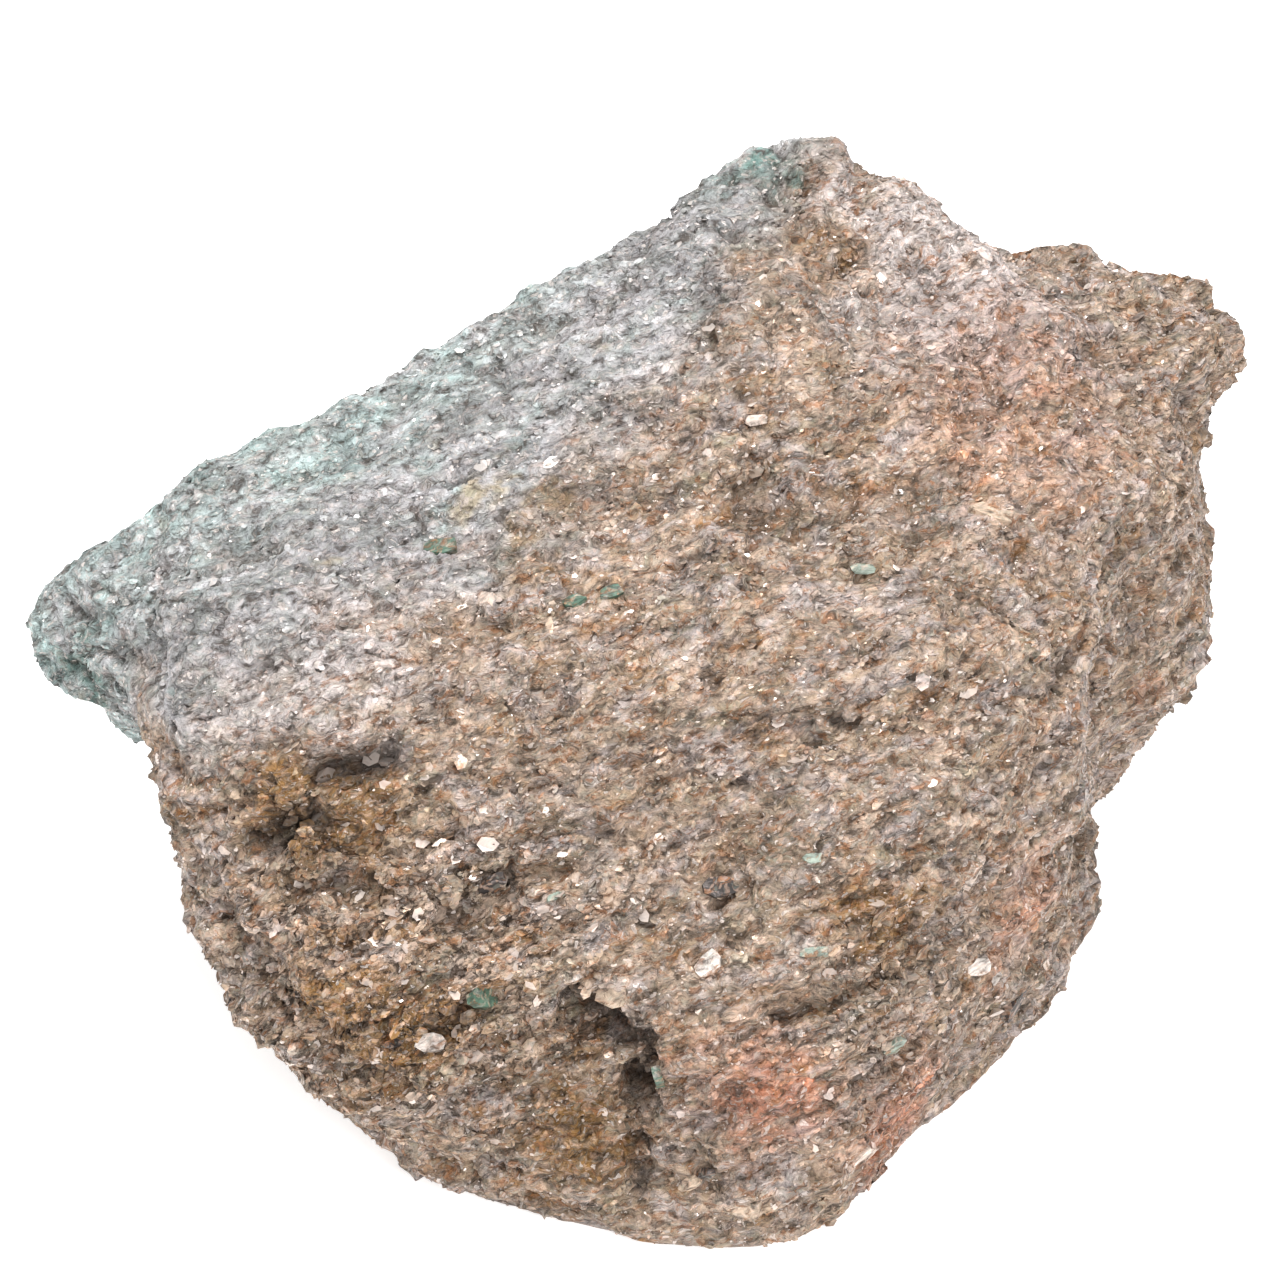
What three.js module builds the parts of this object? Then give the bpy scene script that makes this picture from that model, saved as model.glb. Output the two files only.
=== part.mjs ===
// A rough lump of mica schist, broken off a vein: one solid, millimetres, +Z up.
// The origin is at the middle of the bounding box, on the plane that the lump rests on.

import * as THREE from 'three';
import { ImprovedNoise } from 'three/addons/math/ImprovedNoise.js';

// Driving dimensions, in millimetres unless a comment says otherwise.
const length = 80;              // left tip to right corner; the whole lump scales to this
const edgeRounding = 0.3;       // how far the broken edges are worn down
const blockBlend = 1.0;         // how softly two blocks run into each other
const layerPitch = 6.5;         // spacing of the ledges where the mica layers have parted
const layerRelief = 0.3;        // how far a ledge stands out
const swellPitch = 11;          // spacing of the broad swells of the surface
const swellRelief = 0.8;
const knobPitch = 4.6;          // spacing of the smaller knobs
const knobRelief = 0.4;
const wornFoot = 0.35;          // the blocks reach lower than this, and the foot is worn flat here
const walkSteps = 80;           // steps of the walk that finds the front
const netPitch = 2.1;           // spacing of the net of faces that covers the surface
const evenings = 3;             // rounds of evening out that net

// The normal of the mica layers: they lie almost flat and dip to the left.
const layerNormal = new THREE.Vector3(-0.2, -0.1, 0.97).normalize();

// The lump is what is left between fracture planes. Each block has a middle, and each plane round it is
// given as the bearing it faces (0 right, 90 back), how far it faces up, both in degrees, and its distance
// from the middle.
const blocks = {
  // The brown front mass: a loaf with a broad top, a steep front and an overhanging left cheek.
  frontMass: {
    middle: [2, 0, 20],
    planes: [
      [240, 75, 14], [310, 75, 16], [270, 50, 16], [270, 20, 26], [225, 25, 30], [190, 15, 34],
      [180, -20, 31], [220, -30, 34], [250, -5, 33], [285, 5, 31], [315, 40, 23], [315, 15, 26],
      [325, -5, 28], [0, 20, 30], [0, -5, 27], [45, 20, 38], [95, 0, 35], [125, 15, 28],
      [150, -30, 26], [0, -90, 23],
    ],
  },
  // The grey slab behind it, drawn out to a thin tip on the left.
  greySlab: {
    middle: [-18, 6, 20],
    planes: [
      [120, 75, 12], [125, 30, 14], [125, -20, 12], [190, 75, 13], [225, 30, 17], [235, -30, 13],
      [180, -35, 23], [180, 20, 25], [300, 60, 14], [0, 0, 26], [85, 5, 28], [0, -90, 23],
    ],
  },
  // The right shoulder, which stands back from the front mass.
  shoulder: {
    middle: [24, 18, 18],
    planes: [
      [0, 75, 17], [20, 40, 18], [0, 10, 15], [0, -25, 15], [320, 10, 16], [300, -20, 15],
      [270, 40, 20], [90, 0, 15], [55, 0, 18], [180, 0, 18], [0, -90, 21],
    ],
  },
  // The sharp corner at the far right end of the shoulder.
  cornerSpur: {
    middle: [36, 28, 29],
    planes: [
      [80, 40, 5], [20, 10, 5], [0, -40, 4], [300, 10, 7], [180, 0, 6], [90, -20, 5], [0, 80, 4],
    ],
  },
  // The low ledge along the foot of the right side.
  footLedge: {
    middle: [22, -4, 6],
    planes: [
      [325, 45, 6], [325, 5, 6], [0, 0, 9], [250, 0, 9], [135, 0, 12], [90, 40, 10], [0, -90, 9],
    ],
  },
};

// Hollows broken out of the front: soft troughs down a line of places, each so far across and so high.
const hollows = {
  crevice: { depth: 2.4, width: 2, path: [[-5, 17], [-1, 16], [1, 12], [1, 4]] },
  bay: { depth: 2, width: 4.5, path: [[-5, 13], [-4, 8]] },
  upperCavity: { depth: 2.2, width: 2.2, path: [[-18, 26], [-15, 26]] },
  lowerCavity: { depth: 2, width: 2, path: [[-22, 23], [-20, 23]] },
};

const noise = new ImprovedNoise();

function smoothMax(values, softness) {
  let top = -Infinity;
  for (const value of values) top = Math.max(top, value);
  let sum = 0;
  for (const value of values) sum += Math.exp((value - top) / softness);
  return top + softness * Math.log(sum);
}

function smoothMin(a, b, softness) {
  return -smoothMax([-a, -b], softness);
}

const planesOfBlocks = Object.values(blocks).map(({ middle, planes }) => (
  planes.map(([bearing, rise, distance]) => {
    const turn = THREE.MathUtils.degToRad(bearing);
    const lean = THREE.MathUtils.degToRad(rise);
    const facing = new THREE.Vector3(
      Math.cos(lean) * Math.cos(turn),
      Math.cos(lean) * Math.sin(turn),
      Math.sin(lean),
    );
    const point = new THREE.Vector3(...middle).addScaledVector(facing, distance);
    return new THREE.Plane().setFromNormalAndCoplanarPoint(facing, point);
  })
));

// Distance to the unbroken blocks, roughly in millimetres: below zero inside them.
function blocksDistance(point) {
  let distance = length;
  for (const planes of planesOfBlocks) {
    const block = smoothMax(planes.map((plane) => plane.distanceToPoint(point)), edgeRounding);
    distance = smoothMin(distance, block, blockBlend);
  }
  return distance;
}

// The place on the unbroken front that is so far across and so high, found by walking back to it.
function onFront([across, height]) {
  const point = new THREE.Vector3(across, -length, height);
  for (let step = 0; step < walkSteps; step += 1) point.y += blocksDistance(point);
  return point;
}

const linesOfHollows = Object.values(hollows).map(({ depth, width, path }) => {
  const points = path.map(onFront);
  return { depth, width, lines: points.slice(1).map((end, i) => new THREE.Line3(points[i], end)) };
});

const nearest = new THREE.Vector3();

// How deep a hollow is at a point: most along its line, fading out sideways.
function hollowDepth(point, { depth, width, lines }) {
  let reach = Infinity;
  for (const line of lines) {
    line.closestPointToPoint(point, true, nearest);
    reach = Math.min(reach, nearest.distanceTo(point));
  }
  return depth * Math.exp(-((reach / width) ** 2));
}

// Broad swells, small knobs and the ledges of the mica layers.
function relief(point) {
  const swell = noise.noise(point.x / swellPitch, point.y / swellPitch, point.z / swellPitch + 7);
  const knob = noise.noise(point.x / knobPitch, point.y / knobPitch + 5, point.z / knobPitch);
  const phase = point.dot(layerNormal) / layerPitch + 0.5 * swell;
  const ledge = 2 * Math.abs(2 * (phase - Math.floor(phase)) - 1) - 1;
  return swellRelief * swell + knobRelief * knob + layerRelief * ledge;
}

// Signed distance to the surface, roughly in millimetres: below zero inside the rock.
function field(point) {
  let distance = blocksDistance(point);
  for (const hollow of linesOfHollows) distance += hollowDepth(point, hollow);
  return Math.max(distance + relief(point), wornFoot - point.z);
}

const probe = new THREE.Vector3();

// The field and its slope at a point.
function sample(point, slope, step = 0.05) {
  const here = field(point);
  for (const axis of ['x', 'y', 'z']) {
    probe.copy(point);
    probe[axis] += step;
    slope[axis] = (field(probe) - here) / step;
  }
  return here;
}

const slope = new THREE.Vector3();

function settleOnSurface(point, rounds) {
  for (let round = 0; round < rounds; round += 1) {
    const distance = sample(point, slope);
    point.addScaledVector(slope, -distance / Math.max(slope.lengthSq(), 0.4));
  }
}

// The corners of a grid cell, and the twelve edges that join them.
const cornerNumbers = [0, 1, 2, 3, 4, 5, 6, 7];
const cellCorners = cornerNumbers.map((bits) => [bits & 1, (bits >> 1) & 1, bits >> 2]);
const cellEdges = [
  [0, 1], [2, 3], [4, 5], [6, 7], [0, 2], [1, 3], [4, 6], [5, 7], [0, 4], [1, 5], [2, 6], [3, 7],
];

// The six sides of a cell, each as its corners in turn, and the four lines through its middle.
const cellSides = [[0, 1, 3, 2], [4, 5, 7, 6], [0, 1, 5, 4], [2, 3, 7, 6], [0, 2, 6, 4], [1, 3, 7, 5]];
const cellDiagonals = [[0, 7], [1, 6], [2, 5], [3, 4]];

// Where rock meets rock only at a corner or an edge, the net would pinch: fill in a corner there.
function fillPinches(values, [nx, ny, nz], at) {
  const filled = -1e-3;
  let changed = true;
  while (changed) {
    changed = false;
    for (let k = 0; k < nz - 1; k += 1) {
      for (let j = 0; j < ny - 1; j += 1) {
        for (let i = 0; i < nx - 1; i += 1) {
          const spots = cellCorners.map(([di, dj, dk]) => at(i + di, j + dj, k + dk));
          const inside = spots.map((spot) => values[spot] < 0);
          const count = inside.filter(Boolean).length;
          if (count < 2 || count > 6) continue;
          const side = cellSides.find(([a, b, c, d]) => (
            inside[a] === inside[c] && inside[b] === inside[d] && inside[a] !== inside[b]
          ));
          const diagonal = cellDiagonals.find(([a, b]) => (
            inside[a] === inside[b] && count === (inside[a] ? 2 : 6)
          ));
          if (!side && !diagonal) continue;
          const openCorner = (side ?? cornerNumbers).find((corner) => !inside[corner]);
          values[spots[openCorner]] = filled;
          changed = true;
        }
      }
    }
  }
}

// Cover the field's zero surface with a net of quads, one point in each grid cell that it runs through.
function castNet() {
  const low = new THREE.Vector3(-47, -42, wornFoot - 1.6 * netPitch);
  const counts = [94, 84, 48].map((extent) => Math.ceil(extent / netPitch));
  const [nx, ny, nz] = counts;
  const at = (i, j, k) => i + nx * (j + ny * k);
  const place = (i, j, k) => new THREE.Vector3(i, j, k).multiplyScalar(netPitch).add(low);

  const values = new Float32Array(nx * ny * nz);
  for (let k = 0; k < nz; k += 1) {
    for (let j = 0; j < ny; j += 1) {
      for (let i = 0; i < nx; i += 1) values[at(i, j, k)] = field(place(i, j, k));
    }
  }

  fillPinches(values, counts, at);

  const points = [];
  const pointOfCell = new Int32Array(nx * ny * nz).fill(-1);
  for (let k = 0; k < nz - 1; k += 1) {
    for (let j = 0; j < ny - 1; j += 1) {
      for (let i = 0; i < nx - 1; i += 1) {
        const corner = cellCorners.map(([di, dj, dk]) => values[at(i + di, j + dj, k + dk)]);
        const cut = cellEdges.filter(([a, b]) => (corner[a] < 0) !== (corner[b] < 0));
        if (cut.length === 0) continue;
        const middle = new THREE.Vector3();
        for (const [a, b] of cut) {
          const share = corner[a] / (corner[a] - corner[b]);
          middle.x += THREE.MathUtils.lerp(cellCorners[a][0], cellCorners[b][0], share);
          middle.y += THREE.MathUtils.lerp(cellCorners[a][1], cellCorners[b][1], share);
          middle.z += THREE.MathUtils.lerp(cellCorners[a][2], cellCorners[b][2], share);
        }
        middle.divideScalar(cut.length).multiplyScalar(netPitch).add(place(i, j, k));
        pointOfCell[at(i, j, k)] = points.length;
        points.push(middle);
      }
    }
  }

  const quads = [];
  const steps = [1, nx, nx * ny];
  for (let k = 1; k < nz - 1; k += 1) {
    for (let j = 1; j < ny - 1; j += 1) {
      for (let i = 1; i < nx - 1; i += 1) {
        const here = at(i, j, k);
        for (let axis = 0; axis < 3; axis += 1) {
          const inside = values[here] < 0;
          if (inside === values[here + steps[axis]] < 0) continue;
          const u = steps[(axis + 1) % 3];
          const v = steps[(axis + 2) % 3];
          const around = [here, here - u, here - u - v, here - v].map((cell) => pointOfCell[cell]);
          quads.push(inside ? around : around.reverse());
        }
      }
    }
  }
  return { points, quads };
}

function neighboursOf(quads, count) {
  const neighbours = Array.from({ length: count }, () => new Set());
  for (const quad of quads) {
    quad.forEach((corner, i) => {
      neighbours[corner].add(quad[(i + 1) % 4]);
      neighbours[corner].add(quad[(i + 3) % 4]);
    });
  }
  return neighbours.map((set) => [...set]);
}

// Slide every point along the surface towards the middle of its neighbours.
function evenOut(points, quads) {
  const neighbours = neighboursOf(quads, points.length);
  for (let round = 0; round < evenings; round += 1) {
    const middles = neighbours.map((around) => {
      const middle = new THREE.Vector3();
      around.forEach((j) => middle.add(points[j]));
      return middle.divideScalar(around.length);
    });
    points.forEach((point, i) => {
      sample(point, slope);
      slope.normalize();
      const shift = middles[i].sub(point);
      shift.addScaledVector(slope, -shift.dot(slope));
      point.addScaledVector(shift, 0.5);
      settleOnSurface(point, 2);
    });
  }
}

function rockGeometry() {
  const { points, quads } = castNet();
  evenOut(points, quads);

  // What lies within a hair of the worn foot is part of the flat that the lump rests on.
  for (const point of points) {
    if (point.z < wornFoot + 0.15) point.z = wornFoot;
  }
  const shorterDiagonal = ([a, b, c, d]) => (
    points[a].distanceTo(points[c]) < points[b].distanceTo(points[d])
      ? [a, b, c, a, c, d]
      : [b, c, d, b, d, a]
  );
  const geometry = new THREE.BufferGeometry().setFromPoints(points);
  geometry.setIndex(quads.flatMap(shorterDiagonal));
  geometry.computeBoundingBox();
  const box = geometry.boundingBox;
  const middle = box.getCenter(new THREE.Vector3());
  const scale = length / (box.max.x - box.min.x);
  geometry.translate(-middle.x, -middle.y, -box.min.z);
  geometry.scale(scale, scale, scale);
  return geometry;
}

const rockFinish = new THREE.MeshStandardMaterial({
  name: 'mica schist',
  color: 0x9a8878,
  roughness: 0.7,
  metalness: 0,
  flatShading: true,
});

const rock = new THREE.Mesh(rockGeometry(), rockFinish);
rock.name = 'mica_schist_rock';

const lump = new THREE.Group();
lump.add(rock);

export default lump;
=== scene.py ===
import math

import bmesh
import bpy
import numpy as np
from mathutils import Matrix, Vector
from mathutils.bvhtree import BVHTree


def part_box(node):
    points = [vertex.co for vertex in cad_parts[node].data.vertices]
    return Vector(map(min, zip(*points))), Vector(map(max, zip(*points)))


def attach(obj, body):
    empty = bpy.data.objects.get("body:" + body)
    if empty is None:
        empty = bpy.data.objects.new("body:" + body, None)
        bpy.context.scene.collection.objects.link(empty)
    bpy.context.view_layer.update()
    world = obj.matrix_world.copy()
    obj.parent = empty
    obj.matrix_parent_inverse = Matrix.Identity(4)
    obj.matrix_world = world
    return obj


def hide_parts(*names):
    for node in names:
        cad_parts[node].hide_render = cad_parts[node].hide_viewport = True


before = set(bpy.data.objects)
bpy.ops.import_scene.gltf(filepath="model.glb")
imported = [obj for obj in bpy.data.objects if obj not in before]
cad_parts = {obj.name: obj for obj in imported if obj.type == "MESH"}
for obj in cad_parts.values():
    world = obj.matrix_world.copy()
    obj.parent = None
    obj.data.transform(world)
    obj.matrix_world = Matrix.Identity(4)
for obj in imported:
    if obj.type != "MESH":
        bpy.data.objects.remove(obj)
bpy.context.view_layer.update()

# ---- Stand and light ----
# The lump stands on a white sweep, under a white studio that lights it from all round.
# One softbox hangs above and behind it, and a second one stands in front on the left.

mm = 0.001
scene = bpy.context.scene
scene.view_settings.view_transform = "Standard"

low, high = (Vector(corner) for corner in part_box("mica_schist_rock"))
lump = high - low
view_target = (low + high) / 2 + Vector((0, 0, 0.05 * lump.z))
view_distance = 5.15 * lump.x
view_elevation = math.radians(40)

camera = bpy.data.objects.new("camera", bpy.data.cameras.new("camera"))
camera.data.lens = 180
camera.data.sensor_width = 36
camera.data.clip_start = 0.01
camera.data.clip_end = 20
toward_camera = Vector((0, -math.cos(view_elevation), math.sin(view_elevation)))
camera.location = view_target + view_distance * toward_camera
camera.rotation_euler = toward_camera.to_track_quat("Z", "Y").to_euler()
scene.collection.objects.link(camera)
scene.camera = camera

world = bpy.data.worlds.new("white studio")
world.use_nodes = True
world.node_tree.nodes["Background"].inputs["Color"].default_value = (1, 1, 1, 1)
world.node_tree.nodes["Background"].inputs["Strength"].default_value = 0.8
scene.world = world

softboxes = {
    # name: (place in metres, side in metres, power in watts)
    "top softbox": ((-0.05, 0.10, 0.55), 0.20, 3.0),
    "front softbox": ((0.20, -0.44, 0.34), 0.20, 1.6),
}
for name, (place, side, power) in softboxes.items():
    lamp = bpy.data.lights.new(name, "AREA")
    lamp.size = side
    lamp.energy = power
    softbox = bpy.data.objects.new(name, lamp)
    softbox.location = place
    softbox.rotation_euler = Vector(place).to_track_quat("Z", "Y").to_euler()
    scene.collection.objects.link(softbox)

sweep_half = 3.0
sweep_mesh = bpy.data.meshes.new("sweep")
sweep_mesh.from_pydata(
    [(x * sweep_half, y * sweep_half, 0) for x, y in ((-1, -1), (1, -1), (1, 1), (-1, 1))],
    [],
    [(0, 1, 2, 3)],
)
sweep = bpy.data.objects.new("sweep", sweep_mesh)
scene.collection.objects.link(sweep)
sweep_finish = bpy.data.materials.new("white card")
sweep_finish.use_nodes = True
card = sweep_finish.node_tree.nodes["Principled BSDF"]
card.inputs["Base Color"].default_value = (0.86, 0.86, 0.86, 1)
card.inputs["Roughness"].default_value = 0.9
card.inputs["Specular IOR Level"].default_value = 0.1
card.inputs["Emission Color"].default_value = (1, 1, 1, 1)
card.inputs["Emission Strength"].default_value = 0.6
sweep.data.materials.append(sweep_finish)

# ---- The rock ----
# One natural lump of schist: thin layers of mica, quartz and feldspar, split along the layers
# and broken across them. Its left end is green-grey, and the rest is stained brown by iron.


class Wire:
    """A socket of a node tree. Arithmetic on it adds the nodes that work the result out."""

    def __init__(self, tree, socket=None):
        self.tree = tree
        self.socket = socket

    def add(self, kind, settings=None, inputs=None, output=0):
        node = self.tree.nodes.new(kind)
        for name, value in (settings or {}).items():
            if name == "stops":
                ramp = node.color_ramp
                while len(ramp.elements) < len(value):
                    ramp.elements.new(1)
                for element, (position, colour) in zip(ramp.elements, value):
                    element.position = position
                    element.color = colour
            else:
                setattr(node, name, value)
        for name, value in (inputs or {}).items():
            socket = node.inputs[name]
            if isinstance(value, Wire):
                self.tree.links.new(value.socket, socket)
            else:
                socket.default_value = value
        return Wire(self.tree, node.outputs[output])

    def work(self, operation, *operands):
        many = any(isinstance(item, Wire) and item.socket.type in ("VECTOR", "RGBA") for item in operands)
        if many:
            spread = [item if isinstance(item, (Wire, tuple)) else (item,) * 3 for item in operands]
            return self.add("ShaderNodeVectorMath", {"operation": operation}, dict(enumerate(spread)))
        return self.add("ShaderNodeMath", {"operation": operation}, dict(enumerate(operands)))

    def __add__(self, other):
        return self.work("ADD", self, other)

    def __radd__(self, other):
        return self.work("ADD", other, self)

    def __sub__(self, other):
        return self.work("SUBTRACT", self, other)

    def __rsub__(self, other):
        return self.work("SUBTRACT", other, self)

    def __mul__(self, other):
        return self.work("MULTIPLY", self, other)

    def __rmul__(self, other):
        return self.work("MULTIPLY", other, self)

    def __truediv__(self, other):
        return self.work("DIVIDE", self, other)

    def __pow__(self, other):
        return self.work("POWER", self, other)

    def most(self, other):
        return self.work("MAXIMUM", self, other)

    def least(self, other):
        return self.work("MINIMUM", self, other)

    def dot(self, direction):
        settings = {"operation": "DOT_PRODUCT"}
        other = direction if isinstance(direction, Wire) else tuple(direction)
        return self.add("ShaderNodeVectorMath", settings, {0: self, 1: other}, "Value")

    def length(self):
        return self.add("ShaderNodeVectorMath", {"operation": "LENGTH"}, {0: self}, "Value")

    def other(self, output):
        """Another output of the node that this one comes from."""
        return Wire(self.tree, self.socket.node.outputs[output])

    def ease(self, low, high):
        """0 where this is below low and 1 where it is above high, with a soft run between."""
        settings = {"interpolation_type": "SMOOTHSTEP"}
        return self.add("ShaderNodeMapRange", settings, {"Value": self, "From Min": low, "From Max": high})


# The layers dip to the left, and the mica in them is drawn out on this bearing and at this rise.
layer_normal = Vector((-0.2, -0.1, 0.97)).normalized()
grain_bearing = math.radians(20)
grain_rise = math.radians(10)
grain_along = Vector((math.cos(grain_bearing), math.sin(grain_bearing), math.tan(grain_rise)))
grain_along = (grain_along - grain_along.dot(layer_normal) * layer_normal).normalized()
grain_across = layer_normal.cross(grain_along)


def in_layers(place, long, wide, thick):
    """Coordinates that count cells of this length, width and thickness, laid in the layers."""
    counts = {
        "X": place.dot(grain_along / long),
        "Y": place.dot(grain_across / wide),
        "Z": place.dot(layer_normal / thick),
    }
    return place.add("ShaderNodeCombineXYZ", None, counts)


def mottle(place, size=1.0, detail=2.0, roughness=0.5, output=0):
    inputs = {"Vector": place, "Scale": 1 / size, "Detail": detail, "Roughness": roughness}
    return place.add("ShaderNodeTexNoise", None, inputs, output)


def cells(place, size=1.0, output="Color"):
    return place.add("ShaderNodeTexVoronoi", None, {"Vector": place, "Scale": 1 / size}, output)


def linear(code):
    """A paint code such as b39b88 as the linear colour that a shader takes."""
    parts = [int(code[start:start + 2], 16) / 255 for start in (0, 2, 4)]
    curved = (part / 12.92 if part < 0.04045 else ((part + 0.055) / 1.055) ** 2.4 for part in parts)
    return (*curved, 1)


def blend(factor, first, second):
    return factor.add("ShaderNodeMix", {"data_type": "RGBA"}, {0: factor, 6: first, 7: second}, 2)


def red_part(colour):
    kind = "FunctionNodeSeparateColor" if colour.tree.type == "GEOMETRY" else "ShaderNodeSeparateColor"
    return colour.add(kind, None, {0: colour})


def patch(place, centre, radii):
    """1 at the centre and 0 outside a rounded patch with these half sizes."""
    return 1 - ((place - tuple(centre)) / tuple(radii)).length().ease(0.2, 1.0)


def groove(place, points, width):
    """1 on a line of points and 0 at this distance from it."""
    nearest = None
    for start, end in zip(points, points[1:]):
        run = Vector(end) - Vector(start)
        from_start = place - tuple(start)
        share = from_start.dot(run / run.length_squared).most(0.0).least(1.0)
        stretch = share.add("ShaderNodeCombineXYZ", None, {axis: share * run[axis] for axis in range(3)})
        gap = (from_start - stretch).length()
        nearest = gap if nearest is None else nearest.least(gap)
    return 1 - nearest.ease(0.0, width)


def store(geometry, name, value, data_type="FLOAT", domain="POINT"):
    settings = {"data_type": data_type, "domain": domain}
    return geometry.add(
        "GeometryNodeStoreNamedAttribute", settings, {"Geometry": geometry, "Name": name, "Value": value}
    )


def modifier_tree(name, sizes):
    """An empty Geometry Nodes tree with named number inputs, and the wires that come out of them."""
    tree = bpy.data.node_groups.new(name, "GeometryNodeTree")
    tree.is_modifier = True
    tree.interface.new_socket("Geometry", in_out="INPUT", socket_type="NodeSocketGeometry")
    tree.interface.new_socket("Geometry", in_out="OUTPUT", socket_type="NodeSocketGeometry")
    for label, kind in sizes.items():
        tree.interface.new_socket(label, in_out="INPUT", socket_type="NodeSocket" + kind)
    entry = tree.nodes.new("NodeGroupInput")
    wires = {socket.name: Wire(tree, socket) for socket in entry.outputs if socket.name}
    return tree, wires


def finish_tree(geometry):
    leave = geometry.tree.nodes.new("NodeGroupOutput")
    geometry.tree.links.new(geometry.socket, leave.inputs["Geometry"])


def run_tree(source, tree, values):
    """The plain mesh that the tree makes of a source object."""
    maker = source.modifiers.new(tree.name, "NODES")
    maker.node_group = tree
    for item in tree.interface.items_tree:
        if item.in_out == "INPUT" and item.name in values:
            maker[item.identifier] = values[item.name]
    depsgraph = bpy.context.evaluated_depsgraph_get()
    mesh = bpy.data.meshes.new_from_object(source.evaluated_get(depsgraph))
    source.modifiers.remove(maker)
    return mesh


lump_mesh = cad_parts["mica_schist_rock"].data
lump_surface = BVHTree.FromPolygons(
    [corner.co.copy() for corner in lump_mesh.vertices],
    [tuple(face.vertices) for face in lump_mesh.polygons],
)


def on_top(along, across):
    """The place in mm on top of the lump, this share of the way from left to right and front to back."""
    start = Vector((low.x + along * lump.x, low.y + across * lump.y, high.z + lump.z))
    place = lump_surface.ray_cast(start, Vector((0, 0, -1)))[0]
    return (place or start - Vector((0, 0, lump.z))) / mm


def on_front(along, up):
    """The place in mm on the front, this share of the way from left to right and foot to top."""
    start = Vector((low.x + along * lump.x, low.y - lump.y, low.z + up * lump.z))
    place = lump_surface.ray_cast(start, Vector((0, 1, 0)))[0]
    return (place or start + Vector((0, lump.y, 0))) / mm


# The core is the CAD lump, merged, smoothed and cut finer, with a few faces then joined to save weight.
faces_kept = 0.95
core = bpy.data.objects.new("core", lump_mesh.copy())
core.data.materials.clear()
scene.collection.objects.link(core)
merged = bmesh.new()
merged.from_mesh(core.data)
bmesh.ops.remove_doubles(merged, verts=merged.verts, dist=0.01 * mm)
merged.to_mesh(core.data)
merged.free()
for attribute in [layer.name for layer in core.data.uv_layers]:
    core.data.uv_layers.remove(core.data.uv_layers[attribute])
core.data.uv_layers.new(name="OFBake")
bpy.context.view_layer.objects.active = core
core.select_set(True)
bpy.ops.object.mode_set(mode="EDIT")
bpy.ops.mesh.select_all(action="SELECT")
bpy.ops.uv.smart_project(angle_limit=math.radians(66), island_margin=0.003)
bpy.ops.object.mode_set(mode="OBJECT")
finer = core.modifiers.new("finer", "SUBSURF")
finer.levels = 2
finer.render_levels = 2
thinner = core.modifiers.new("thinner", "DECIMATE")
thinner.ratio = faces_kept

rock_tree, entry = modifier_tree(
    "broken schist",
    {
        "Plate length": "Float",
        "Plate width": "Float",
        "Plate thickness": "Float",
        "Plate step": "Float",
        "Chip step": "Float",
        "Swell height": "Float",
        "Swirl height": "Float",
        "Knob height": "Float",
        "Finish": "Material",
    },
)
place = Wire(rock_tree).add("GeometryNodeInputPosition") * (1 / mm)
normal = Wire(rock_tree).add("GeometryNodeInputNormal")
height = place.dot((0, 0, 1))
depth = place.dot((0, 1, 0))
wander = mottle(place, 5.5, 5, 0.65) - 0.5

# The grey end lies behind a bowed line that runs from the left cheek to the middle of the back.
ridge_start = Vector((low.x + 0.10 * lump.x, low.y + 0.30 * lump.y, 0)) / mm
ridge_end = Vector((low.x + 0.65 * lump.x, low.y + lump.y, 0)) / mm
ridge_bow = 10.0
ridge_run = ridge_end - ridge_start
ridge_back = Vector((-ridge_run.y, ridge_run.x, 0)).normalized()
ridge_share = (place - tuple(ridge_start)).dot(ridge_run / ridge_run.length_squared)
past_ridge = (place - tuple(ridge_start)).dot(ridge_back) + 4 * ridge_bow * ridge_share * (1 - ridge_share)
cheek_top = 0.60 * lump.z / mm
slab_front = (low.y + 0.50 * lump.y) / mm
tip_root = (low.x + 0.10 * lump.x) / mm
behind_ridge = (past_ridge + 16 * wander).ease(-4.0, 4.0)
above_cheek = (height - cheek_top + 6 * wander).ease(-1.4, 1.4)
on_slab = (depth - slab_front + 2 * wander).ease(-0.8, 0.8)
on_tip = (tip_root - place.dot((1, 0, 0)) + 3 * wander).ease(-1.0, 1.0)
grey = (behind_ridge * above_cheek.most(on_slab)).most(on_tip)

# Cracks and holes that run into the lump, sunk and painted dark as shade: the places they pass, half width
# and depth in mm.
cracks = {
    "crevice": ([on_front(0.45, 0.40), on_front(0.50, 0.35), on_front(0.50, 0.25)], 1.7, 2.2),
    "crevice foot": ([on_front(0.50, 0.25), on_front(0.50, 0.10)], 1.1, 1.2),
    "upper cavity": ([on_front(0.25, 0.65), on_front(0.30, 0.65)], 2.6, 2.0),
    "lower cavity": ([on_front(0.20, 0.55), on_front(0.25, 0.60)], 2.4, 1.8),
    "slot": ([on_front(0.65, 0.70), on_front(0.70, 0.70)], 0.6, 0.6),
    "pit": ([on_top(0.35, 0.55), on_top(0.36, 0.55)], 0.8, 0.8),
    "shoulder crack": ([on_top(0.90, 0.75), on_top(0.95, 0.75)], 1.0, 0.8),
    "low crack": ([on_front(0.40, 0.55), on_front(0.40, 0.50)], 0.8, 0.8),
    "layer gap": ([on_front(0.60, 0.40), on_front(0.70, 0.40)], 0.9, 1.0),
}
shade = None
sinking = None
for points, width, deep in cracks.values():
    line = groove(place + (mottle(place, 1.9, 4, 0.65, 1) - 0.5) * 4.0, points, width)
    sinking = line * deep if sinking is None else sinking.most(line * deep)
    shade = line if shade is None else shade.most(line)

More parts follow.
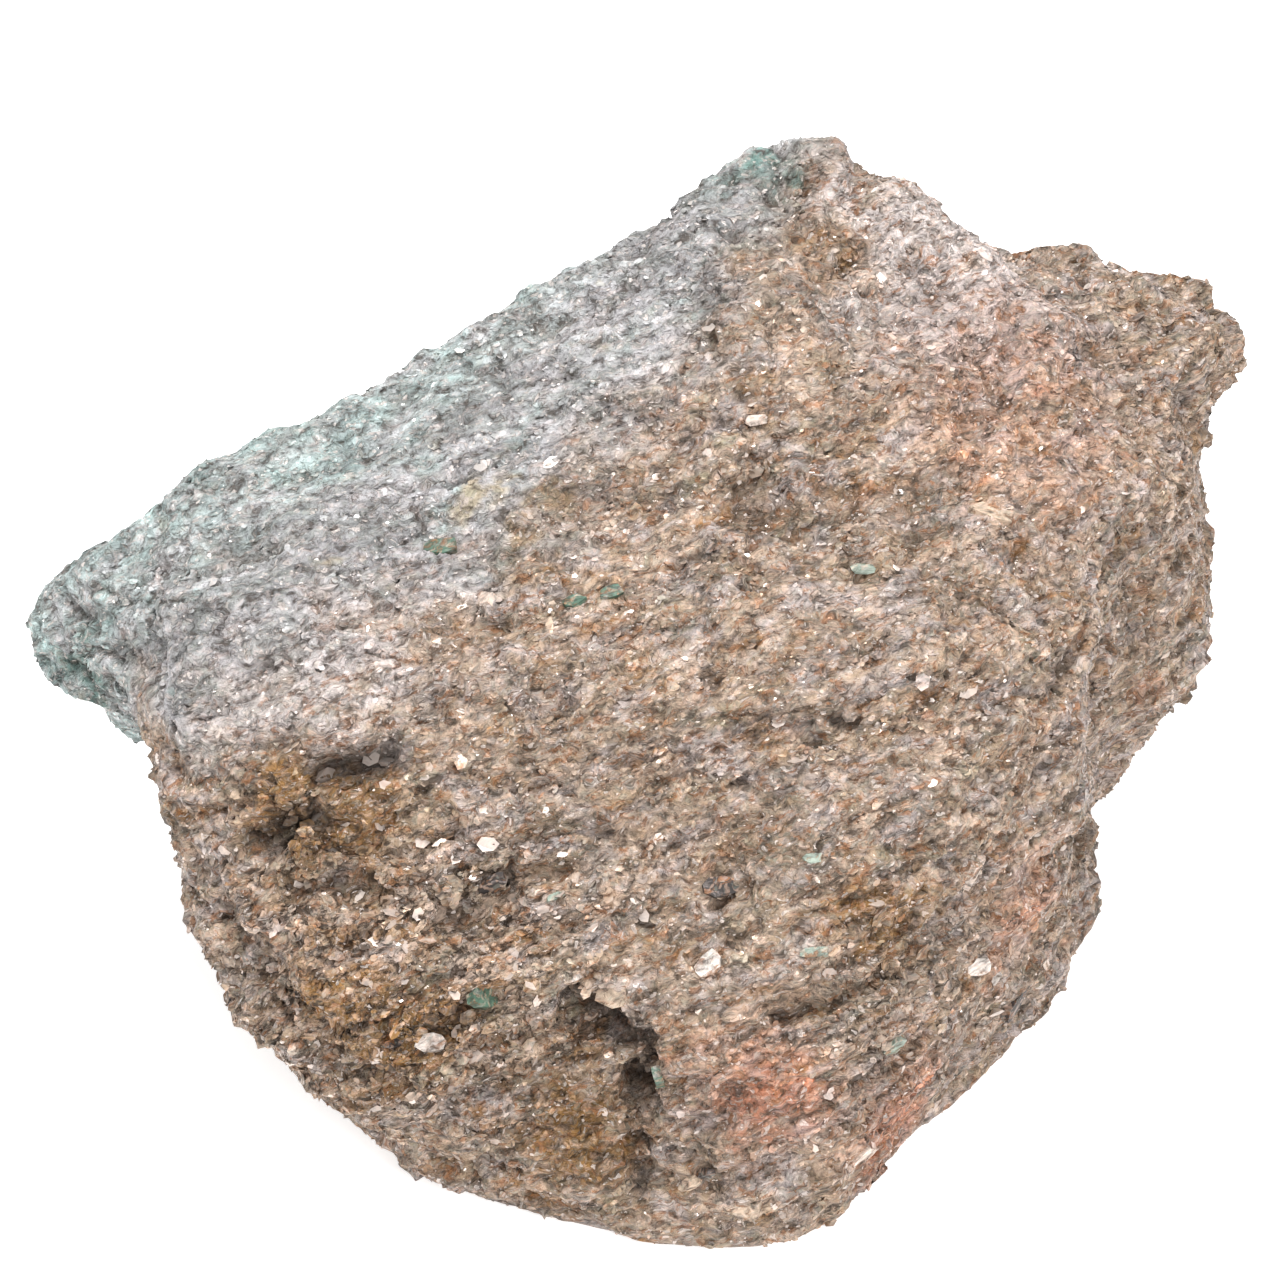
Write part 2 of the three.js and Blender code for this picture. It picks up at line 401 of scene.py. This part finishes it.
# Where iron has stained the rock, where it is pink, where green mica grows, where it is pale,
# and where it breaks into coarse pieces. Each row is a middle, half sizes in mm and a strength.
stains = [
    (on_front(0.25, 0.60), (9, 7, 7), 0.9),
    (on_front(0.30, 0.40), (10, 8, 8), 0.9),
    (on_front(0.45, 0.20), (6, 6, 8), 1.0),
    (on_front(0.40, 0.80), (7, 8, 6), 1.0),
    (on_front(0.70, 0.50), (8, 5, 5), 0.7),
    (on_top(0.65, 0.80), (6, 6, 5), 1.0),
]
blushes = [
    (on_front(0.60, 0.30), (7, 6, 6), 1.0),
    (on_front(0.70, 0.15), (8, 6, 7), 1.0),
    (on_front(0.80, 0.35), (6, 6, 7), 0.6),
    (on_top(0.80, 0.65), (12, 16, 9), 0.4),
]
greens = [
    (on_top(0.60, 0.90), (5, 3, 3), 1.0),
    (on_front(0.05, 0.50), (7, 5, 6), 1.0),
    (on_top(0.30, 0.75), (20, 8, 8), 0.5),
    (on_front(0.65, 0.30), (3, 3, 3), 0.8),
]
pale = [
    (on_top(0.75, 0.80), (16, 13, 8), 1.0),
    (on_front(0.25, 0.70), (10, 7, 6), 0.8),
]
chunky = [
    (on_front(0.30, 0.45), (20, 18, 16), 1.0),
    (on_front(0.70, 0.35), (12, 10, 10), 0.5),
]


def gather(place, patches):
    total = None
    for centre, radii, strength in patches:
        one = patch(place, centre, radii) * strength
        total = one if total is None else total.most(one)
    return total


frayed = place + (mottle(place, 4.0, 4, 0.65, 1) - 0.5) * 9
fair = gather(frayed, pale)
stained = gather(frayed, stains)
pink = gather(frayed, blushes)
green = gather(frayed, greens)

waved = place + (mottle(place, 13, 2, 0.5, 1) - 0.5) * 6
laid = waved.add(
    "ShaderNodeCombineXYZ",
    None,
    {
        "X": waved.dot(grain_along) / entry["Plate length"],
        "Y": waved.dot(grain_across) / entry["Plate width"],
        "Z": waved.dot(layer_normal) / entry["Plate thickness"],
    },
)
plates = red_part(cells(laid)) - 0.5
chips = red_part(cells(laid * 2.3 + 7.0)) - 0.5
swirls = mottle(laid, 0.8, 6, 0.62) - 0.5
knobs = mottle(place, 2.6, 3, 0.6) - 0.5
swells = mottle(in_layers(waved, 9, 6, 3.4), 1.0, 3, 0.5) - 0.5
rough = gather(place, chunky)
seams = mottle(in_layers(waved, 12, 8, 2.2), 1.0, 4, 0.6) - 0.5
seam_lines = 1 - seams.most(0 - seams).ease(0.0, 0.026)
relief = swells * entry["Swell height"] - 0.5 * seam_lines + (0.7 - 0.3 * grey + 0.9 * rough) * (
    plates * entry["Plate step"]
    + chips * entry["Chip step"]
    + swirls * entry["Swirl height"]
    + knobs * entry["Knob height"]
)

# The foot stays flat.
off_foot = height.ease(0.1, 2.0)
push = (relief - sinking) * off_foot

# The colour of the stone at each place, before its grain: tan and pink where it is iron-stained,
# grey at the left end, with olive, ochre and green where those minerals gather.
hues = mottle(in_layers(waved, 4.4, 2.6, 1.5), 1.0, 6, 0.72, 1)
first = red_part(hues)
second = first.other(1)
third = first.other(2)
bands = mottle(in_layers(waved, 7.0, 3.0, 1.8), 1.0, 4, 0.6)
tint = blend((first + 0.08 * pink).ease(0.42, 0.58), linear("958069"), linear("b9a28f"))
tint = blend((second + 0.12 * fair).ease(0.48, 0.62) * 0.8, tint, linear("b4a9a8"))
tint = blend((third + 0.15 * stained).ease(0.53, 0.66) * 0.9, tint, linear("8d6230"))
tint = blend((1 - second + 0.17 * pink).ease(0.60, 0.73) * 0.85, tint, linear("b97f62"))
tint = blend((1 - third).ease(0.56, 0.66) * 0.7, tint, linear("807a62"))
tint = blend(fair * second.ease(0.32, 0.52) * 0.85, tint, linear("d6cbc7"))
tint = blend(pink * first.ease(0.30, 0.52) * 0.75, tint, linear("bb7352"))
tint = blend(stained * third.ease(0.30, 0.48) * 0.72, tint, linear("85622f"))
cool = blend(first.ease(0.42, 0.58), linear("9b9c9b"), linear("b5b2b4"))
cool = blend((third + 0.10 * green).ease(0.54, 0.68) * 0.6, cool, linear("94aba7"))
cool = blend((second + 0.14 * stained).ease(0.60, 0.70) * 0.7, cool, linear("9c8a68"))
# Partly painted light: towards the far side the green-grey end is paled to a light blue-green, standing in
# for light from the white studio, over the stone's own cool tone.
far_side_painted_light = past_ridge.ease(7.0, 17.0)
cool = blend(far_side_painted_light * (third.ease(0.34, 0.60)) * 0.75, cool, linear("a9c1be"))
tint = blend(grey, tint, cool)
tint = blend((green * 0.5 + 1.6 * (third - 0.5)).ease(0.28, 0.60) * 0.8, tint, linear("4c7068"))
tint = blend(seam_lines * bands.ease(0.36, 0.54) * (0.6 - 0.25 * grey), tint, linear("5a4330"))
tint = tint * (0.67 + 0.42 * bands.ease(0.34, 0.62) + 0.03 * grey)

# What belongs to a place is kept before the surface moves, so it stays with its hollow or its rise.
marked = store(entry["Geometry"], "tint", tint, "FLOAT_COLOR")
for name, value in {"grey": grey, "rough": rough, "relief": relief, "shade": shade, "push": push}.items():
    marked = store(marked, name, value)
kept_push = Wire(rock_tree).add("GeometryNodeInputNamedAttribute", {"data_type": "FLOAT"}, {"Name": "push"})
moved = marked.add(
    "GeometryNodeSetPosition", None, {"Geometry": marked, "Offset": normal * (kept_push * mm)}
)
smooth = moved.add("GeometryNodeSetShadeSmooth", None, {"Geometry": moved})
finish_tree(smooth.add("GeometryNodeSetMaterial", None, {"Geometry": smooth, "Material": entry["Finish"]}))


def new_finish(name):
    finish = bpy.data.materials.new(name)
    finish.use_nodes = True
    return finish, finish.node_tree.nodes["Principled BSDF"], Wire(finish.node_tree)


def zone(paper, name, output="Fac"):
    return paper.add("ShaderNodeAttribute", {"attribute_name": name}, None, output)


def stone_finish(name, swing=0.0, silver=0.0, shine=0.5):
    """The grain of the stone, with painted shade in its hollows and cracks. Flakes are up to swing lighter
    or darker, and this share is silver.
    """
    finish, shader, paper = new_finish(name)
    spot = paper.add("ShaderNodeTexCoord", None, None, "Object") * (1 / mm)
    bent = spot + (mottle(spot, 1.2, 1, 0.6, 1) - 0.5) * 1.1
    fine = mottle(in_layers(bent, 1.3, 0.75, 0.5), 1.0, 4, 0.70, 1)
    streaks = red_part(fine)
    first = streaks.other(1)
    second = streaks.other(2)
    grain_place = in_layers(bent, 0.34, 0.25, 0.17)
    grain = cells(grain_place)
    luck = red_part(grain)
    coarse = zone(paper, "rough")
    cool_zone = zone(paper, "grey")
    colour = zone(paper, "tint", "Color")
    colour = blend(first.ease(0.53, 0.66) * (0.42 + 0.2 * cool_zone), colour, linear("bdb0ac"))
    colour = blend(luck.other(1).ease(0.72, 0.80) * 0.35 * (1 - cool_zone), colour, linear("c9a893"))
    colour = blend(luck.other(2).ease(0.76, 0.84) * 0.3, colour, linear("8b8e83"))
    rust = second.ease(0.52, 0.64) * (0.75 - 0.6 * cool_zone)
    colour = blend(rust, colour, linear("8a5932"))
    colour = colour * (0.52 + 0.80 * streaks.ease(0.34, 0.64) + 0.26 * (luck - 0.5))
    wisps = 1 - (first - 0.47).most(0.47 - first).ease(0.0, 0.022)
    gaps = (0.44 - streaks + 0.05 * coarse).ease(0.0, 0.10) * (0.6 + 0.3 * coarse)
    colour = blend(gaps.most(wisps * second.ease(0.45, 0.55) * 0.75), colour, linear("3b2a1b"))
    # Painted shade: the stone is darkened toward dark brown where the relief sinks into hollows.
    colour = blend((0 - zone(paper, "relief")).ease(0.2, 1.8) * 0.6, colour, linear("4a3828"))
    if swing:
        tone = zone(paper, "tone")
        colour = colour * (1 - swing + 2 * swing * tone)
        gloss = tone.ease(0.5, 0.95)
        clean = tone.ease(1 - silver, 1.05 - silver)
    else:
        gloss = luck.ease(0.7, 0.95)
        clean = luck.ease(0.94, 0.96)
    colour = blend(clean * 0.6, colour, linear("dcd0c9"))
    # Painted shade: cracks and holes are darkened nearly to black along their lines.
    colour = blend(zone(paper, "shade").ease(0.15, 1.0) * (0.5 + 0.5 * streaks), colour, linear("20160f"))
    paper.tree.links.new(colour.socket, shader.inputs["Base Color"])
    paper.tree.links.new((gloss * shine).socket, shader.inputs["Metallic"])
    paper.tree.links.new((0.58 - 0.25 * gloss).socket, shader.inputs["Roughness"])
    if not swing:
        facets = (grain_place - grain.other("Position")).dot(grain - 0.5)
        inputs = {"Height": streaks + 0.35 * facets, "Distance": 0.75 * mm, "Strength": 1.0}
        paper.tree.links.new(paper.add("ShaderNodeBump", None, inputs).socket, shader.inputs["Normal"])
    return finish


schist = stone_finish("mica schist", shine=0.35)
rock_mesh = run_tree(
    core,
    rock_tree,
    {
        "Plate length": 7.0,
        "Plate width": 4.5,
        "Plate thickness": 1.7,
        "Plate step": 1.2,
        "Chip step": 0.5,
        "Swell height": 3.4,
        "Swirl height": 1.7,
        "Knob height": 1.3,
        "Finish": schist,
    },
)
rock_mesh.name = "rock"
rock = bpy.data.objects.new("rock", rock_mesh)
scene.collection.objects.link(rock)
bpy.data.objects.remove(core)
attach(rock, "root")
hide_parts("mica_schist_rock")

# ---- Mica flakes ----
# Thin six-sided books of mica, grown in the layers and torn open where the rock broke.
# They lie close to the layers, tilt a little each way, and catch the light.

flake_mesh = bpy.data.meshes.new("flake")
corner_count = 6
rim = [
    (math.cos(2 * math.pi * k / corner_count), math.sin(2 * math.pi * k / corner_count), 0.0)
    for k in range(corner_count)
]
sides = [(k, corner_count, (k + 1) % corner_count) for k in range(corner_count)]
flake_mesh.from_pydata(rim + [(0, 0, -1)], [], [tuple(range(corner_count))] + sides)
flake_uv = flake_mesh.uv_layers.new(name="OFBake")
for polygon in flake_mesh.polygons:
    shift = 0.04 if len(polygon.vertices) == corner_count else 0.54
    for loop in polygon.loop_indices:
        x, y, _ = flake_mesh.vertices[flake_mesh.loops[loop].vertex_index].co
        flake_uv.data[loop].uv = (shift + 0.21 * (x + 1), 0.1 + 0.4 * (y + 1))
flake = bpy.data.objects.new("flake", flake_mesh)

flake_tree, entry = modifier_tree(
    "mica flakes",
    {
        "Flake": "Object",
        "Flakes per square mm": "Float",
        "Grey share": "Float",
        "Brown share": "Float",
        "Rough share": "Float",
        "Smallest": "Float",
        "Largest": "Float",
        "Thickness": "Float",
        "Tilt": "Float",
        "Pull to layers": "Float",
        "Lift": "Float",
        "Texture cells": "Float",
        "Seed": "Int",
        "Finish": "Material",
    },
)
paper = Wire(flake_tree)
grey_here = paper.add("GeometryNodeInputNamedAttribute", {"data_type": "FLOAT"}, {"Name": "grey"})
rough_here = paper.add("GeometryNodeInputNamedAttribute", {"data_type": "FLOAT"}, {"Name": "rough"})
brown_share = entry["Rough share"] * rough_here + entry["Brown share"] * (1 - rough_here)
share = entry["Grey share"] * grey_here + brown_share * (1 - grey_here)
above_foot = (paper.add("GeometryNodeInputPosition") * (1 / mm)).dot((0, 0, 1)).ease(0.3, 1.2)
scattered = paper.tree.nodes.new("GeometryNodeDistributePointsOnFaces")
scattered.distribute_method = "RANDOM"
paper.tree.links.new(entry["Geometry"].socket, scattered.inputs["Mesh"])
paper.tree.links.new(entry["Seed"].socket, scattered.inputs["Seed"])
density = entry["Flakes per square mm"] * share * above_foot * 1e6
paper.tree.links.new(density.socket, scattered.inputs["Density"])
points = Wire(flake_tree, scattered.outputs["Points"])
surface_normal = Wire(flake_tree, scattered.outputs["Normal"])
seed = entry["Seed"]


def lot(low, high, salt, data_type="FLOAT"):
    settings = {"data_type": data_type}
    numbers = {"FLOAT": (2, 3, 1), "FLOAT_VECTOR": (0, 1, 0)}[data_type]
    inputs = {numbers[0]: low, numbers[1]: high, "Seed": seed * 31 + salt}
    return seed.add("FunctionNodeRandomValue", settings, inputs, numbers[2])


jitter = lot((-1, -1, -1), (1, 1, 1), 1, "FLOAT_VECTOR")
facing = (
    surface_normal * (1 - entry["Pull to layers"])
    + entry["Pull to layers"] * paper.add("ShaderNodeCombineXYZ", None, dict(enumerate(layer_normal)))
    + jitter * entry["Tilt"]
)
upright = paper.add("FunctionNodeAlignRotationToVector", {"axis": "Z"}, {"Vector": facing})
along = paper.add("ShaderNodeCombineXYZ", None, dict(enumerate(grain_along))) + 0.8 * lot(
    (-1, -1, -1), (1, 1, 1), 2, "FLOAT_VECTOR"
)
turned = paper.add(
    "FunctionNodeAlignRotationToVector",
    {"axis": "X", "pivot_axis": "Z"},
    {"Rotation": upright, "Vector": along},
)
size = entry["Smallest"] + (entry["Largest"] - entry["Smallest"]) * lot(0.0, 1.0, 3) ** 2.2
lengths = paper.add(
    "ShaderNodeCombineXYZ",
    None,
    {"X": size * lot(0.8, 1.35, 4), "Y": size * lot(0.5, 0.95, 5), "Z": size * entry["Thickness"]},
)
lifted = surface_normal * (entry["Lift"] * size * mm)
placed = points.add("GeometryNodeSetPosition", None, {"Geometry": points, "Offset": lifted})
placed = store(placed, "tone", lot(0.0, 1.0, 6))

# Each flake has a cell of its own in a square texture.
cells_wide = entry["Texture cells"]
number = paper.add("GeometryNodeInputIndex")
row = (number / cells_wide).work("FLOOR", number / cells_wide)
cell = paper.add("ShaderNodeCombineXYZ", None, {"X": number - row * cells_wide, "Y": row, "Z": 0.0})
placed = store(placed, "cell", cell, "FLOAT_VECTOR")
book_inputs = {"Object": entry["Flake"], "As Instance": False}
book = paper.add("GeometryNodeObjectInfo", None, book_inputs, "Geometry")
laid = placed.add(
    "GeometryNodeInstanceOnPoints",
    None,
    {"Points": placed, "Instance": book, "Rotation": turned, "Scale": lengths * mm * 0.5},
)
real = laid.add("GeometryNodeRealizeInstances", None, {"Geometry": laid})
spot = paper.add("GeometryNodeInputPosition")
ragged = (mottle(spot * (1 / mm), 0.35, 1, 0.5, 1) - 0.5) * (0.22 * mm)
real = real.add("GeometryNodeSetPosition", None, {"Geometry": real, "Offset": ragged})
own_uv = paper.add("GeometryNodeInputNamedAttribute", {"data_type": "FLOAT_VECTOR"}, {"Name": "OFBake"})
own_cell = paper.add("GeometryNodeInputNamedAttribute", {"data_type": "FLOAT_VECTOR"}, {"Name": "cell"})
whole = paper.add("ShaderNodeCombineXYZ", None, {0: cells_wide, 1: cells_wide, 2: 1.0})
real = store(real, "OFBake", (own_uv + own_cell) / whole, "FLOAT2", "CORNER")
finish_tree(real.add("GeometryNodeSetMaterial", None, {"Geometry": real, "Material": entry["Finish"]}))


def scatter(name, values):
    mesh = run_tree(rock, flake_tree, {"Flake": flake, **values})
    mesh.name = name
    piece = bpy.data.objects.new(name, mesh)
    scene.collection.objects.link(piece)
    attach(piece, "root")
    return piece


common = {"Thickness": 0.9, "Lift": 0.03, "Texture cells": 142.0, "Pull to layers": 0.25}
grit_finish = stone_finish("schist grit", 0.12, 0.06, 0.3)
for index in range(2):
    scatter(
        f"grit_{index + 1}",
        {
            **common,
            "Flakes per square mm": 1.5,
            "Grey share": 0.9,
            "Brown share": 1.0,
            "Rough share": 1.1,
            "Smallest": 0.16,
            "Largest": 0.62,
            "Tilt": 0.38,
            "Seed": 11 + index,
            "Finish": grit_finish,
        },
    )
scale_finish = stone_finish("stained mica", 0.35, 0.12, 0.4)
scatter(
    "mica_scales",
    {
        **common,
        "Flakes per square mm": 1.0,
        "Grey share": 0.05,
        "Brown share": 0.15,
        "Rough share": 2.2,
        "Smallest": 0.25,
        "Largest": 1.2,
        "Tilt": 0.5,
        "Seed": 21,
        "Finish": scale_finish,
    },
)
glint_finish = stone_finish("clean mica", 0.3, 0.6, 0.6)
scatter(
    "mica_glints",
    {
        **common,
        "Flakes per square mm": 1.5,
        "Grey share": 1.1,
        "Brown share": 0.9,
        "Rough share": 1.0,
        "Smallest": 0.10,
        "Largest": 0.30,
        "Tilt": 0.7,
        "Seed": 31,
        "Finish": glint_finish,
    },
)

bpy.data.objects.remove(flake)

# ---- Broad flakes ----
# A few books of mica much bigger than the rest, grown into the rock and split open with it:
# pale, brown, green and nearly black ones, anywhere on the top and the front.

broad_colours = ["cfc5bd", "c9b8ac", "b09c88", "8a968a", "4a6555", "302a28"]
flakes_of_each_colour = 5
share_on_top = 0.4
widest = 1.4
broad_corners = 9
broad_root = 0.55

lay = np.random.default_rng(17)
broad_flakes = []
for code in broad_colours * flakes_of_each_colour:
    on_side = on_top if lay.random() < share_on_top else on_front
    from_left = lay.uniform(0.25, 0.80)
    onward = lay.uniform(0.40, 0.60) if on_side is on_top else lay.uniform(0.1, 0.6)
    run = grain_along + 0.7 * Vector(lay.uniform(-1, 1, 3))
    long = lay.uniform(0.9, 3.0)
    wide = min(widest, long * lay.uniform(0.35, 0.8))
    broad_flakes.append((on_side(from_left, onward), run, long, wide, code))

broad = bmesh.new()
paint = broad.loops.layers.float_color.new("tint")
tone_layer = broad.verts.layers.float.new("tone")
chance = np.random.default_rng(7)
for middle, run, long, wide, code in broad_flakes:
    _, at, outward, _ = rock.closest_point_on_mesh(middle * mm)
    outward = (outward + 0.35 * layer_normal).normalized()
    run = (run - run.dot(outward) * outward).normalized()
    side = outward.cross(run)
    outline = []
    for step in range(broad_corners):
        turn = 2 * math.pi * (step + 0.3 * chance.random()) / broad_corners
        bulge = (abs(math.cos(turn)) ** 4 + abs(math.sin(turn)) ** 4) ** -0.25
        reach = bulge * (0.82 + 0.3 * chance.random())
        rise = 0.16 + 0.10 * chance.random()
        outline.append(
            at
            + run * (math.cos(turn) * reach * long / 2 * mm)
            + side * (math.sin(turn) * reach * wide / 2 * mm)
            + outward * (rise * mm)
        )
    rim = [broad.verts.new(point) for point in outline]
    foot = [broad.verts.new(point - outward * (broad_root * mm)) for point in outline]
    faces = [broad.faces.new(rim), broad.faces.new(foot[::-1])]
    for step in range(broad_corners):
        after = (step + 1) % broad_corners
        faces.append(broad.faces.new((rim[step], foot[step], foot[after], rim[after])))
    for face in faces:
        for corner in face.loops:
            corner[paint] = linear(code)
    for corner in rim + foot:
        corner[tone_layer] = 0.5
bmesh.ops.recalc_face_normals(broad, faces=broad.faces)
broad_mesh = bpy.data.meshes.new("broad_mica")
broad.to_mesh(broad_mesh)
broad.free()
broad_mica = bpy.data.objects.new("broad_mica", broad_mesh)
scene.collection.objects.link(broad_mica)
broad_mica.data.materials.append(stone_finish("broad mica", 0.2, 0.0, 0.3))
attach(broad_mica, "root")
